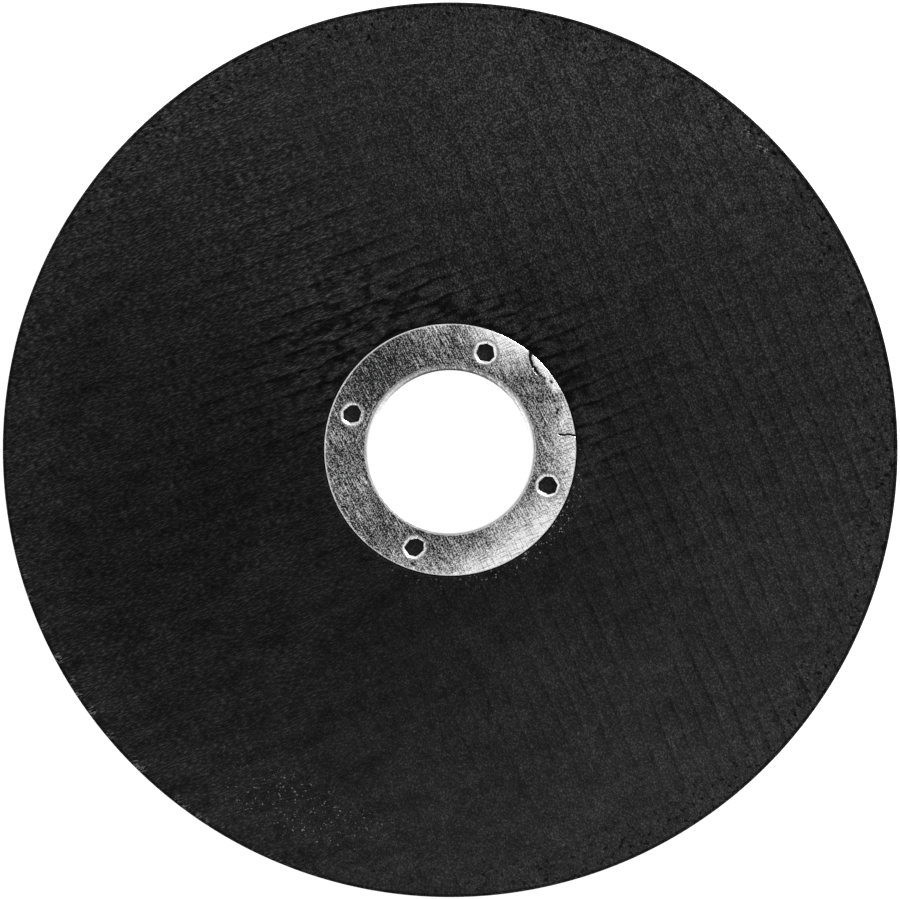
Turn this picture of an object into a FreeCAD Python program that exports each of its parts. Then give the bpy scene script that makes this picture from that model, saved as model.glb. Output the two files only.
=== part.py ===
"""A thin cut-off wheel for an angle grinder: black grain and resin pressed between two glass-fibre nets, with a
pressed steel ring in its bore. Millimetres. The axis is Z and the wheel lies on the plane z = 0."""

import FreeCAD, Part
import math
import os

import Sketcher

Vector = FreeCAD.Vector

# Every size of the wheel that is chosen, and not worked out from the others
SIZES = [
    ("wheel_diameter", 125.0, "over the rim"),
    ("wheel_thickness", 1.6, "over the yarns of both nets"),
    ("net_thickness", 0.3, "glass net with its resin"),
    ("yarn_pitch", 2.54, "ten yarns to the inch"),
    ("yarn_relief", 0.09, "how far the yarns stand above the crevices between them"),
    ("weave_turn", 22.5, "degrees from X to the cross yarns"),
    ("bore_diameter", 22.23, "arbor hole of the ring's collar"),
    ("flange_width", 6.485, "of the ring, from the bore to the flange's edge"),
    ("ring_sheet", 0.3, "steel sheet that the ring is pressed from"),
    ("ring_bend", 0.9, "outer radius of the bend from flange to collar"),
    ("ring_sink", 0.05, "how far the flange lies under the wheel's face"),
    ("collar_rise", 0.1, "from the wheel's lower face to the collar's end"),
    ("fit_gap", 0.05, "clearance round the collar and the pierced tangs"),
    ("lip_gap", 0.1, "from the flange's edge to the foot of the lip"),
    ("lip_width", 0.3, "of the lip's sloping wall"),
    ("hole_turn", -20.0, "degrees from X to the first pierced hole"),
    ("hole_place", 0.445, "of the flange's flat, from the bend out to the pierced holes' centres"),
    ("hole_share", 0.448, "of the flange's flat, over the corners of a pierced hole"),
    ("dimple_share", 0.7, "of the flange's flat, over the dimple that the punch leaves"),
    ("floor_share", 0.376, "of the flange's flat, over the dimple's deepest part, less than the torn hole"),
    ("dimple_depth", 0.35, "how deep the punch pressed the sheet before it tore"),
    ("tang_edge", 0.15, "thickness of the torn tang at its end"),
    ("pit_depth", 0.3, "how far the punch went on below the tangs"),
    ("crack_width", 0.16, "of the cracks where they leave the flange's edge"),
    ("short_crack", 2.0, "length of the straight crack"),
    ("short_crack_turn", 6.4, "degrees from X to the straight crack"),
    ("bent_crack", 1.2, "how far in from the edge the bent crack has its bend"),
    ("bent_crack_slant", 1.6, "how far along the edge it runs on the way there"),
    ("bent_crack_tail", 1.4, "how far along the edge it runs after its bend"),
    ("bent_crack_turn", 51.5, "degrees from X to the bent crack"),
]
HOLES = 4
HOLE_CORNERS = 7
BEND_FLATS = 3

# Heights and radii that pieces share, worked out from the sizes
FLANGE_TOP = "wheel_thickness - ring_sink"
FLANGE_UNDER = "wheel_thickness - ring_sink - ring_sheet"
TANG_END = "wheel_thickness - ring_sink - ring_sheet - dimple_depth"
COLLAR_OUTSIDE = "bore_diameter / 2 + ring_sheet"
WHEEL_BORE = "bore_diameter / 2 + ring_sheet + fit_gap"
BEND_TOP = "bore_diameter / 2 + ring_bend"
BEND_FOOT = "wheel_thickness - ring_sink - ring_bend"
RING_EDGE = "bore_diameter / 2 + flange_width"
LIP_FOOT = "bore_diameter / 2 + flange_width + lip_gap"
LIP_TOP = "bore_diameter / 2 + flange_width + lip_gap + lip_width"
RIM = "wheel_diameter / 2"
HOLE_REACH = "(bore_diameter / 2 + ring_bend + hole_place * (flange_width - ring_bend))"
HOLE_RADIUS = "hole_share * (flange_width - ring_bend) / 2"
DIMPLE_RADIUS = "dimple_share * (flange_width - ring_bend) / 2"
DIMPLE_FLOOR = "floor_share * (flange_width - ring_bend) / 2"
TANG_SLOPE = f"({DIMPLE_RADIUS} - {HOLE_RADIUS} - tang_edge) / dimple_depth"

doc =FreeCAD.newDocument("cut_off_wheel")
sheet = doc.addObject("Spreadsheet::Sheet", "Sizes")
for row, (alias, size, meaning) in enumerate(SIZES, start=1):
    sheet.set(f"A{row}", meaning)
    sheet.set(f"B{row}", str(size))
    sheet.setAlias(f"B{row}", alias)
doc.recompute()
ALIASES = sorted((alias for alias, size, meaning in SIZES), key=len, reverse=True)


def formula(text):
    """The text of an expression, with each size's alias read from the sheet."""
    words = []
    word = ""
    for letter in text + " ":
        if letter.isalnum() or letter == "_":
            word += letter
            continue
        words.append(f"Sizes.{word}" if word in ALIASES else word)
        words.append(letter)
        word = ""
    return "".join(words).strip()


def value(text):
    """What an expression comes to now, as a plain number."""
    found = sheet.evalExpression(formula(text))
    return float(getattr(found, "Value", found))


def bind(thing, **expressions):
    """Ties properties of a feature to the sheet. A double underscore stands for a dot."""
    for name, text in expressions.items():
        thing.setExpression(name.replace("__", "."), formula(text))


def new_sketch(body, name, role):
    """An empty sketch on one of the body's own origin planes."""
    plane = next(f for f in body.Origin.OriginFeatures if f.Role == role)
    sketch = body.newObject("Sketcher::SketchObject", name)
    sketch.AttachmentSupport = [(plane, "")]
    sketch.MapMode = "FlatFace"
    return sketch


def draw(sketch, corners):
    """Draws a closed outline through corners, each an x and a y expression."""
    places = [Vector(value(x), value(y), 0) for x, y in corners]
    for start, end in zip(places, places[1:] + places[:1]):
        sketch.addGeometry(Part.LineSegment(start, end), False)
    for k, (x, y) in enumerate(corners):
        sketch.addConstraint(Sketcher.Constraint("Coincident", (k - 1) % len(corners), 2, k, 1))
        for kind, text, size in (("DistanceX", x, places[k].x), ("DistanceY", y, places[k].y)):
            number = sketch.addConstraint(Sketcher.Constraint(kind, -1, 1, k, 1, size))
            sketch.setExpression(f"Constraints[{number}]", formula(text))


def revolve(body, name, corners):
    """A turned solid: an outline in the XZ plane, as radius and height, taken round the Z axis."""
    sketch = new_sketch(body, name + "_profile", "XZ_Plane")
    draw(sketch, corners)
    turned = body.newObject("PartDesign::Revolution", name)
    turned.Profile = sketch
    turned.ReferenceAxis = (sketch, ["V_Axis"])
    turned.Angle = 360
    return turned


def around_axis(body, name, features):
    """Repeats features round the wheel's axis, once for each pierced hole."""
    pattern = body.newObject("PartDesign::PolarPattern", name)
    pattern.Originals = features
    pattern.Axis = (next(f for f in body.Origin.OriginFeatures if f.Role == "Z_Axis"), [""])
    pattern.Angle = 360
    pattern.Occurrences = HOLES
    body.Tip = pattern
    return pattern


def cone_at_hole(body, kind, name, turn, top, bottom, top_radius, bottom_radius):
    """A cone on the axis of the first pierced hole, added or cut away, between two heights."""
    cone = body.newObject(f"PartDesign::{kind}Cone", name)
    bind(
        cone,
        Radius1=bottom_radius,
        Radius2=top_radius,
        Height=f"({top}) - ({bottom})",
        Placement__Base__x=f"{HOLE_REACH} * cos({turn})",
        Placement__Base__y=f"{HOLE_REACH} * sin({turn})",
        Placement__Base__z=bottom,
    )
    return cone


def row_cutter(name, axis, ridges, top, length_back, length_ahead):
    """Cuts the face of a net into a row of roof-shaped yarns. ridges are the places of the yarns' tops across
    the row, and the crevices lie midway between them. axis is the way along the yarns, X or Y."""
    low = top - value("yarn_relief")
    high = top + 2 * value("yarn_relief")
    outline = [(ridges[0], high)]
    for ridge, following in zip(ridges, ridges[1:]):
        outline += [(ridge, top), ((ridge + following) / 2, low)]
    outline += [(ridges[-1], top), (ridges[-1], high), (ridges[0], high)]
    if axis == "Y":
        points = [Vector(across, 0, up) for across, up in outline]
    else:
        points = [Vector(0, across, up) for across, up in outline]
    section = doc.addObject("Part::Feature", name + "_section")
    section.Shape = Part.Face(Part.makePolygon(points))
    cutter = doc.addObject("Part::Extrusion", name)
    cutter.Base = section
    cutter.DirMode = "Custom"
    cutter.Dir = Vector(0, 1, 0) if axis == "Y" else Vector(1, 0, 0)
    cutter.Solid = True
    bind(cutter, LengthFwd=length_ahead, LengthRev=length_back)
    return cutter


def cut_away(label, base, cutter):
    result = doc.addObject("Part::Cut", label)
    result.Base = base
    result.Tool = cutter
    result.Label = label
    return result


def weave_long_yarns(label, blank, top):
    """Prints the yarns that run along the net's own Y, over its whole face."""
    pitch = value("yarn_pitch")
    count = math.ceil(value(RIM) / pitch) + 1
    ridges = [(k - 0.5) * pitch for k in range(-count + 1, count + 1)]
    reach = "wheel_diameter / 2 + yarn_pitch"
    return cut_away(label, blank, row_cutter(label + "_rows", "Y", ridges, value(top), reach, reach))


def weave_cross_yarns(label, base, top):
    """Prints the yarns that run along the net's own X. They show in one quarter of the face only, where the
    resin left them bare."""
    pitch = value("yarn_pitch")
    count = math.ceil(value(RIM) / pitch) + 1
    ridges = [k * pitch for k in range(count + 1)]
    reach = "wheel_diameter / 2 + yarn_pitch"
    return cut_away(label, base, row_cutter(label + "_rows", "X", ridges, value(top), reach, "0"))


def new_body(label):
    body = doc.addObject("PartDesign::Body", label)
    body.Label = label
    return body


def make_abrasive_disc():
    """Grain and resin between the nets. Its upper face dips under the ring, as the net on it does, and each
    tang of the ring ends in a pit in it."""
    body = new_body("abrasive_disc")
    dip = f"{FLANGE_UNDER} - net_thickness"
    revolve(
        body,
        "disc",
        [
            (WHEEL_BORE, "net_thickness"),
            (RIM, "net_thickness"),
            (RIM, "wheel_thickness - net_thickness"),
            (LIP_TOP, "wheel_thickness - net_thickness"),
            (LIP_FOOT, dip),
            (BEND_TOP, dip),
            (WHEEL_BORE, BEND_FOOT),
        ],
    )
    pit = body.newObject("PartDesign::SubtractiveCylinder", "punch_pit")
    bind(
        pit,
        Radius=f"{HOLE_RADIUS} + tang_edge + {TANG_SLOPE} * (dimple_depth - net_thickness) + fit_gap",
        Height=f"wheel_thickness - ({TANG_END} - pit_depth)",
        Placement__Base__x=f"{HOLE_REACH} * cos(hole_turn)",
        Placement__Base__y=f"{HOLE_REACH} * sin(hole_turn)",
        Placement__Base__z=f"{TANG_END} - pit_depth",
    )
    around_axis(body, "punch_pits", [pit])
    return body


def make_upper_net():
    """The net of the upper face. It is pressed down under the ring's flange and rises round it as a lip. It is
    turned a little on the wheel's axis, as it was laid in the mould."""
    blank = new_body("upper_net_blank")
    revolve(
        blank,
        "dished_net",
        [
            (BEND_TOP, f"{FLANGE_UNDER} - net_thickness"),
            (LIP_FOOT, f"{FLANGE_UNDER} - net_thickness"),
            (LIP_TOP, "wheel_thickness - net_thickness"),
            (RIM, "wheel_thickness - net_thickness"),
            (RIM, "wheel_thickness + yarn_relief"),
            (LIP_TOP, "wheel_thickness + yarn_relief"),
            (LIP_TOP, "wheel_thickness - 2 * yarn_relief"),
            (LIP_FOOT, FLANGE_UNDER),
            (BEND_TOP, FLANGE_UNDER),
        ],
    )
    seat = cone_at_hole(
        blank,
        "Subtractive",
        "tang_seat",
        "hole_turn - weave_turn",
        FLANGE_UNDER,
        f"{TANG_END} - fit_gap",
        f"{DIMPLE_RADIUS} + fit_gap",
        f"{HOLE_RADIUS} + tang_edge + fit_gap",
    )
    around_axis(blank, "tang_seats", [seat])
    rows = weave_long_yarns("upper_net_long_yarns", blank, "wheel_thickness")
    net = weave_cross_yarns("upper_glass_net", rows, "wheel_thickness")
    bind(net, Placement__Rotation__Angle="weave_turn")
    return net


def make_lower_net():
    """The net of the lower face, flat, modelled face up and then turned over."""
    blank = new_body("lower_net_blank")
    revolve(
        blank,
        "flat_net",
        [
            (WHEEL_BORE, "0"),
            (RIM, "0"),
            (RIM, "net_thickness + yarn_relief"),
            (WHEEL_BORE, "net_thickness + yarn_relief"),
        ],
    )
    net = weave_long_yarns("lower_glass_net", blank, "net_thickness")
    net.Placement = FreeCAD.Placement(Vector(0, 0, 0), FreeCAD.Rotation(Vector(1, 0, 0), 180))
    bind(net, Placement__Base__z="net_thickness")
    return net


def cut_crack(body, name, corners, turn):
    """A crack through the flange, drawn from the point of its edge that lies along X, then turned."""
    sketch = new_sketch(body, name + "_outline", "XY_Plane")
    draw(sketch, corners)
    bind(sketch, AttachmentOffset__Rotation__Angle=turn)
    crack = body.newObject("PartDesign::Pocket", name)
    crack.Profile = sketch
    crack.Type = "ThroughAll"
    crack.Reversed = True
    return crack


def on_bend(radius, turn):
    """A point of the ring's bend, as radius and height, turn degrees up from the collar's wall."""
    return (f"{BEND_TOP} - ({radius}) * cos({turn})", f"{BEND_FOOT} + ({radius}) * sin({turn})")


def make_bore_ring():
    """The ring, one pressed sheet: flange, bend and collar. Four holes are pierced through the flange from
    above. Each leaves a dimple and a torn tang below. Two cracks run in from the flange's edge."""
    body = new_body("bore_ring")
    flats = [on_bend("ring_bend", 90 / BEND_FLATS * k) for k in range(BEND_FLATS - 1, 0, -1)]
    revolve(
        body,
        "sheet",
        [
            ("bore_diameter / 2", "collar_rise"),
            (COLLAR_OUTSIDE, "collar_rise"),
            (COLLAR_OUTSIDE, BEND_FOOT),
            on_bend("ring_bend - ring_sheet", 45),
            (BEND_TOP, FLANGE_UNDER),
            (RING_EDGE, FLANGE_UNDER),
            (RING_EDGE, FLANGE_TOP),
            (BEND_TOP, FLANGE_TOP),
            *flats,
            ("bore_diameter / 2", BEND_FOOT),
        ],
    )
    tang = cone_at_hole(
        body,
        "Additive",
        "tang",
        "hole_turn",
        FLANGE_UNDER,
        TANG_END,
        DIMPLE_RADIUS,
        f"{HOLE_RADIUS} + tang_edge",
    )
    dimple = cone_at_hole(
        body,
        "Subtractive",
        "dimple",
        "hole_turn",
        FLANGE_TOP,
        f"{FLANGE_TOP} - dimple_depth",
        DIMPLE_RADIUS,
        DIMPLE_FLOOR,
    )
    torn = new_sketch(body, "torn_hole_outline", "XY_Plane")
    corners = []
    for k in range(HOLE_CORNERS):
        turn = 360 / HOLE_CORNERS * k
        x = f"{HOLE_REACH} * cos(hole_turn) + {HOLE_RADIUS} * cos({turn})"
        y = f"{HOLE_REACH} * sin(hole_turn) + {HOLE_RADIUS} * sin({turn})"
        corners.append((x, y))
    draw(torn, corners)
    hole = body.newObject("PartDesign::Pocket", "torn_hole")
    hole.Profile = torn
    hole.Type = "ThroughAll"
    hole.Reversed = True
    around_axis(body, "pierced_holes", [tang, dimple, hole])

    half = "crack_width / 2"
    cut_crack(
        body,
        "straight_crack",
        [
            (f"{RING_EDGE} + crack_width", f"-{half}"),
            (f"{RING_EDGE} + crack_width", half),
            (f"{RING_EDGE} - short_crack", "0"),
        ],
        "short_crack_turn",
    )
    cut_crack(
        body,
        "kinked_crack",
        [
            (f"{RING_EDGE} + crack_width", f"-{half}"),
            (f"{RING_EDGE} + crack_width", half),
            (f"{RING_EDGE} - bent_crack - crack_width / 4", "-bent_crack_slant"),
            (f"{RING_EDGE} - bent_crack - bent_crack_tail / 4", "-bent_crack_slant - bent_crack_tail"),
            (f"{RING_EDGE} - bent_crack + crack_width / 4", "-bent_crack_slant"),
        ],
        "bent_crack_turn",
    )
    body.Tip = doc.getObject("kinked_crack")
    return body


pieces = [make_abrasive_disc(), make_upper_net(), make_lower_net(), make_bore_ring()]
doc.recompute()

for thing in doc.Objects:
    if {"Invalid", "Error"} & set(thing.State):
        raise RuntimeError(f"{thing.Label} failed: {thing.State}")
for piece in pieces:
    if piece.Shape.isNull() or not piece.Shape.isValid():
        raise RuntimeError(f"{piece.Label} has no valid shape")

os.makedirs("parts", exist_ok=True)
for piece in pieces:
    piece.Shape.exportStep(f"parts/{piece.Label}.step")
    print(f"{piece.Label}: {len(piece.Shape.Solids)} solid, {piece.Shape.Volume:.1f} mm3")
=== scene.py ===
# %% [markdown]
# # A cut-off wheel, dressed
#
# The wheel is 125 mm across and only 1.6 mm thick: black grain and resin pressed between two glass nets, with a
# thin steel ring in the bore. This lesson rebuilds each piece as a mesh with the marks of how it was made, then
# gives each one its finish. Lengths are worked out in millimetres and turned into metres when a mesh is made.

import math

import bpy
import numpy as np
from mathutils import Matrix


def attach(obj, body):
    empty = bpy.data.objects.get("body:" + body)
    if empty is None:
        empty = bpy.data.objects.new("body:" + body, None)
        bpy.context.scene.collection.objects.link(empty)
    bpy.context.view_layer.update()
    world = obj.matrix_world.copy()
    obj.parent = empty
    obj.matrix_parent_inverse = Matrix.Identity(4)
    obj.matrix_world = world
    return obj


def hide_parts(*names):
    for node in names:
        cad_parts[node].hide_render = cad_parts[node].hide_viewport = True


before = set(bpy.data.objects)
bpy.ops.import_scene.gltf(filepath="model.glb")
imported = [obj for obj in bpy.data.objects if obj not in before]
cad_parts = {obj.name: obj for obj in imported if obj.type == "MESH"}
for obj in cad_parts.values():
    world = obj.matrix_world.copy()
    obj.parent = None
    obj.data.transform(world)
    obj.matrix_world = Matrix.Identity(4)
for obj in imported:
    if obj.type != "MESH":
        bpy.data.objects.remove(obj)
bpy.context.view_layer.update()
MM = 0.001
print("nodes:", sorted(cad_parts))

# %% [markdown]
# ## Sizes that the pieces share
#
# The wheel lies on the plane z = 0 with its axis on Z. These are the radii and heights where one piece meets
# another. Each is named once, so that no piece can drift away from its neighbour.

# %% Sizes
RIM = 62.5  # radius of the wheel
WHEEL_BORE = 11.465  # radius of the hole in the disc and the nets
FACE = 1.6  # height of the yarns' tops
NET = 0.3  # thickness of each net
YARN_RELIEF = 0.09  # depth of the crevices between yarns
LIP_TOP, LIP_FOOT = 18.0, 17.7  # radii between which the net slopes down to its seat under the ring
FLANGE_UNDER = 1.25  # height of the seat, where the ring's flange lies
DIP = 0.95  # height of the seat's underside
BEND_TOP = 12.015  # radius where the flange starts to turn down into the bore
HOLE_CIRCLE = 14.5
HOLES = [(HOLE_CIRCLE * math.cos(turn), HOLE_CIRCLE * math.sin(turn)) for turn in np.radians([-20, 70, 160, 250])]
print("holes at", [(round(x, 2), round(y, 2)) for x, y in HOLES])

# %% [markdown]
# ## Helpers for shaping with numbers
#
# A pressed face is uneven in ways that no two wheels share. Value noise gives that: random heights on a coarse
# grid, blended smoothly between. It could come from Blender's displacement textures, but in numpy the same noise
# can bend a yarn's path, roughen an edge and tint a stain. A fixed seed keeps every run the same.

# %% Noise and blending
NOISE_SPAN, NOISE_START = 150, 72


def blend(low, high, x):
    """0 below low, 1 above high, and a soft step between."""
    t = np.clip((x - low) / (high - low), 0, 1)
    return t * t * (3 - 2 * t)


def noise(x, y, cell, seed):
    """Smooth noise from -1 to 1 on points in mm, with lumps about a cell wide."""
    n = int(NOISE_SPAN / cell) + 4
    grid = np.random.default_rng(seed).uniform(-1, 1, (n, n))
    u, v = (x + NOISE_START) / cell, (y + NOISE_START) / cell
    i, j = np.floor(u).astype(int) % (n - 1), np.floor(v).astype(int) % (n - 1)
    s, t = blend(0, 1, u - np.floor(u)), blend(0, 1, v - np.floor(v))
    low = grid[i, j] * (1 - s) + grid[i + 1, j] * s
    high = grid[i, j + 1] * (1 - s) + grid[i + 1, j + 1] * s
    return low * (1 - t) + high * t


print("noise at the axis:", round(float(noise(np.zeros(1), np.zeros(1), 5, 1)[0]), 3))

# %% [markdown]
# Some marks run in one direction, some belong to one side of the wheel, and some to a single spot. These helpers
# say so in a few numbers: a direction is an angle up from X, a side is an angle and how far round it reaches, and a
# spot is a point of the picture. Painting the marks on a texture would need a picture file, and these need none.

# %% Directions, sides and spots
PICTURE_RIM = 894  # the wheel's diameter in the picture, in pixels
PICTURE_AXIS = (450.3, 449.7)


def along(x, y, turn):
    """Points as distance along and across a direction, turn degrees up from X."""
    c, s = math.cos(math.radians(turn)), math.sin(math.radians(turn))
    return x * c + y * s, -x * s + y * c


def polar(x, y):
    """How far points are from the axis, and at which side of the wheel, in degrees."""
    return np.hypot(x, y), np.degrees(np.arctan2(y, x))


def lobe(angle, side, width):
    """1 towards one side of the wheel, falling away to both sides. Degrees."""
    off = (angle - side + 180) % 360 - 180
    return np.exp(-((off / width) ** 2))


def on_picture(px, py):
    """A place on the face, in mm, from a point of the picture."""
    scale = 2 * RIM / PICTURE_RIM
    return (px - PICTURE_AXIS[0]) * scale, (PICTURE_AXIS[1] - py) * scale


print("a pixel of the picture is", round(2 * RIM / PICTURE_RIM, 4), "mm")

# %% [markdown]
# ## Making a piece
#
# A mesh is made from arrays of corners and faces. Each piece also carries masks: one number a corner, such as how
# dirty or how rubbed the surface is there. The shaders read them by name. Painting by hand would do too, but a
# mask worked out beside the shape always fits it.


# %% A mesh with masks
def make_piece(name, points, faces, masks, node):
    """A mesh from points in mm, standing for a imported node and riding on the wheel's one body."""
    mesh = bpy.data.meshes.new(name)
    mesh.from_pydata((points * MM).tolist(), [], faces)
    mesh.update()
    for label, values in masks.items():
        layer = mesh.attributes.new(label, "FLOAT", "POINT")
        layer.data.foreach_set("value", np.asarray(values, np.float32))
    mesh.shade_smooth()
    piece = bpy.data.objects.new(name, mesh)
    bpy.context.scene.collection.objects.link(piece)
    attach(piece, "root")
    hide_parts(node)
    print(name, len(mesh.vertices), "corners,", sum(len(f) - 2 for f in faces), "triangles")
    return piece


# %% [markdown]
# Every piece of the wheel is round, so its walls are rows of corners at one radius and height after another, joined
# by four-cornered faces. Blender's bridge tool does the same for two loops. These few helpers also say which corner
# is which, so that a wall can start from a cut edge and end on the next row. Where two rows differ in count, a walk
# round both of them makes triangles.


# %% Rows of corners
def strip(lower, upper):
    """Faces between two closed rows of corners that have the same count."""
    following = np.roll(lower, -1), np.roll(upper, -1)
    return np.stack([lower, following[0], following[1], upper], 1).tolist()


def add_row(rows, faces, last, row, flip=False):
    """Adds a row of corners, joins it to the last one, and gives the new row's numbers."""
    start = sum(len(earlier) for earlier in rows)
    rows.append(row)
    numbers = np.arange(start, start + len(row))
    if last is not None:
        faces += strip(numbers, last) if flip else strip(last, numbers)
    return numbers


def row_at(x, y, radius, height):
    """A copy of a row at another radius and height, which may change along the row."""
    scale = radius / np.hypot(x, y)
    return np.stack([x * scale, y * scale, np.broadcast_to(height, x.shape)], 1)


print("two rows of three corners:", strip(np.arange(3), np.arange(3, 6)))


# %% Borders and uneven rows
def border_edges(faces):
    """The edges of four-cornered faces that only one face has, as it runs round them."""
    edges = np.concatenate([faces[:, [k, (k + 1) % 4]] for k in range(4)])
    _, firsts, counts = np.unique(np.sort(edges, 1), axis=0, return_index=True, return_counts=True)
    return edges[firsts[counts == 1]]


def between(points, inner, outer):
    """Triangles that face up, between two rows in order of angle that may differ in count."""
    turns = [np.arctan2(points[row, 1], points[row, 0]) for row in (inner, outer)]
    near, far = (np.append(turn, turn[0] + 2 * math.pi) for turn in turns)
    inner, outer = (np.append(row, row[0]).tolist() for row in (inner, outer))
    faces = []
    i = j = 0
    while i < len(inner) - 1 or j < len(outer) - 1:
        if j == len(outer) - 1 or (i < len(inner) - 1 and near[i + 1] <= far[j + 1]):
            faces.append([inner[i], outer[j], inner[i + 1]])
            i += 1
        else:
            faces.append([inner[i], outer[j], outer[j + 1]])
            j += 1
    return faces


print("border of one face:", border_edges(np.arange(4)[None]).tolist())

# %% [markdown]
# ## The face of the net
#
# Glass yarns lie under the black resin in two crossing sets. Pressing leaves each yarn as a low ridge that rises
# quickly on one side and falls away slowly on the other. The steep set shows over the right half, the shallow set
# at the upper left, where resin ran and its ridges wave and merge. Bump mapping could fake this, but the ridges
# catch the light from every side, so they are real heights here.

# %% Yarn ridges
WEAVE_TURN = 22.8
STEEP_PITCH, STEEP_START, STEEP_SHAPE = 2.595, 1.30, (0.22, 1.6)
SHALLOW_PITCH, SHALLOW_START, SHALLOW_SHAPE = 2.70, 1.0, (0.24, 2.2)
SHALLOW_FAN = 0.00102


def yarns_at(x, y, wave=0):
    """Where a point lies across the steep and the shallow set, counted in yarns. The shallow set fans out a little."""
    _, across = along(x, y, 90 + WEAVE_TURN)
    steep = (0.30 * noise(x, y, 12, 11) + 0.08 * noise(x, y, 2.4, 12) - across - STEEP_START) / STEEP_PITCH
    run, across = along(x, y, WEAVE_TURN - 1.2)
    across = across * (1 + SHALLOW_FAN * run) + 0.42 * noise(x, y, 11, 13)
    across = across + (0.1 + 0.5 * wave) * noise(x, y, 2.8, 14)
    return steep, (across - SHALLOW_START) / SHALLOW_PITCH


def ridge(place, rise, fall):
    """The height of one yarn, from 0 to 1, rising quickly and falling slowly."""
    phase = place % 1
    down = np.clip((phase - rise) / (1 - rise), 0, 1)
    return np.where(phase < rise, blend(0, rise, phase), (1 - down) ** fall)


print("ridge heights over a yarn:", np.round(ridge(np.linspace(0, 1, 6), *STEEP_SHAPE), 2))

# %% [markdown]
# How strongly each set shows changes over the face. Round the top of the ring the resin is crumpled into folds, and
# near the rim the face is open grain. Each of these is a mask from 0 to 1, made of sides of the wheel and of rings
# round the axis, with noise so that nothing ends in a clean line.

# %% Where yarns, folds and grain show
FLOW_TURN = 20  # the way the resin ran, in degrees up from X
TOP_LEFT = (132, 34)  # the side where it ran most, and how far round that reaches


def yarn_strengths(x, y):
    """How strongly the steep and the shallow yarns show."""
    radius, angle = polar(x, y)
    steep = np.clip(0.42 + 0.5 * np.cos(np.radians(angle - 5)), 0.03, 0.8) * (1 - 0.8 * blend(36, 52, -y))
    steep *= 0.85 + 0.4 * noise(x, y, 9, 15)
    shallow = 0.9 * lobe(angle, *TOP_LEFT) + 0.45 * lobe(angle, 25, 60) + 0.2 * lobe(angle, 195, 50)
    shallow *= 0.45 + 0.75 * blend(50, 22, radius)
    shallow *= 0.85 + 0.4 * noise(x, y, 8, 16)
    return steep, shallow


def crumpled_folds(x, y):
    """How far the resin is crumpled, and the height of its folds, which lie along the way that it flowed."""
    radius, angle = polar(x, y)
    crumple = blend(36, 19, radius) * lobe(angle, *TOP_LEFT) + blend(27, 18, radius) * lobe(angle, 70, 75)
    run, across = along(x, y, FLOW_TURN)
    folds = np.abs(noise(run / 2.4, across, 0.9, 18)) + 0.5 * noise(run / 2, across, 0.6, 25) - 0.15
    return np.clip(crumple, 0, 1), folds


def open_grain(x, y):
    """How far the grain comes through near the rim."""
    radius, angle = polar(x, y)
    sides = lobe(angle, 110, 60) + lobe(angle, 20, 50) + 0.7 * lobe(angle, -60, 40)
    return blend(54, 60.5, radius + 1.6 * noise(x, y, 5, 19)) * (0.35 + 0.65 * np.clip(sides, 0, 1))


sample = np.linspace(19, 62, 400)
print("crumpled to the upper right:", round(float(crumpled_folds(sample * 0.7, sample * 0.7)[0].mean()), 2))

# %% [markdown]
# The resin isn't equally black. Light is painted where the face looks towards the upper right and near the rim, over
# a random tone, and shade is painted beside the ring at the top, under the lip. A painted highlight lies on the lit
# lip along the ring's lower edge, and pale dust has settled in one patch near the rim.


# %% Painted light and shade, a painted lip highlight and dust on the resin
def tone_and_painted_light_at(x, y):
    """How light the resin is, from 0 to about 1: painted light and shade over a random tone."""
    radius, angle = polar(x, y)
    # painted light: lighter towards the upper right and towards the rim, where sheen falls
    east = 0.5 + 0.5 * np.cos(np.radians(angle - 15))
    outward = (radius - 20) / 38 * (0.13 + 0.55 * lobe(angle, 88, 60) + 0.68 * lobe(angle, -72, 52) + 0.10 * east)
    tone_and_painted_light = 0.26 * east**0.7 + 0.14 * lobe(angle, 95, 50) + outward
    tone_and_painted_light = tone_and_painted_light + 0.1 * noise(x, y, 14, 23) + 0.05 * noise(x, y, 4, 24)
    tone_and_painted_light += 0.1 * lobe(angle, -22, 30) - 0.06 * lobe(angle, 25, 25)
    # painted shade: darker to the left, away from the light
    tone_and_painted_light -= 0.16 * lobe(angle, -165, 40) * blend(20, 40, radius) * blend(58, 52, radius)
    tone_and_painted_light += 0.12 * blend(54, 59, radius) * (lobe(angle, 100, 35) + lobe(angle, -75, 35))
    # painted shade beside the ring at the top, where the lip shades the face
    tone_and_painted_light -= 0.5 * blend(18.7, 18.0, radius) * lobe(angle, 95, 65)
    return np.clip(tone_and_painted_light, 0, 1.2)


def dust_and_painted_highlight_at(x, y):
    """Where pale specks lie, from 0 to 1: a painted highlight on the lit lip by the ring, and dust near the rim."""
    radius, angle = polar(x, y)
    # painted highlight on the lit lip along the ring's lower edge
    painted_lit_lip = blend(20.6, 18.3, radius + 0.5 * noise(x, y, 2.5, 28))
    painted_lit_lip = painted_lit_lip * (0.22 * lobe(angle, -90, 60) + 0.7 * lobe(angle, -35, 28))
    # a patch of pale dust near the rim
    patch = 0.4 * blend(48, 53, radius) * blend(60, 57, radius) * lobe(angle, -112, 13)
    return np.clip(painted_lit_lip + patch, 0, 1)


tones = (float(tone_and_painted_light_at(side * sample, 0 * sample).mean()) for side in (1, -1))
print("mean tone to the right and to the left:", [round(tone_and_painted_light, 2) for tone_and_painted_light in tones])
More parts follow.
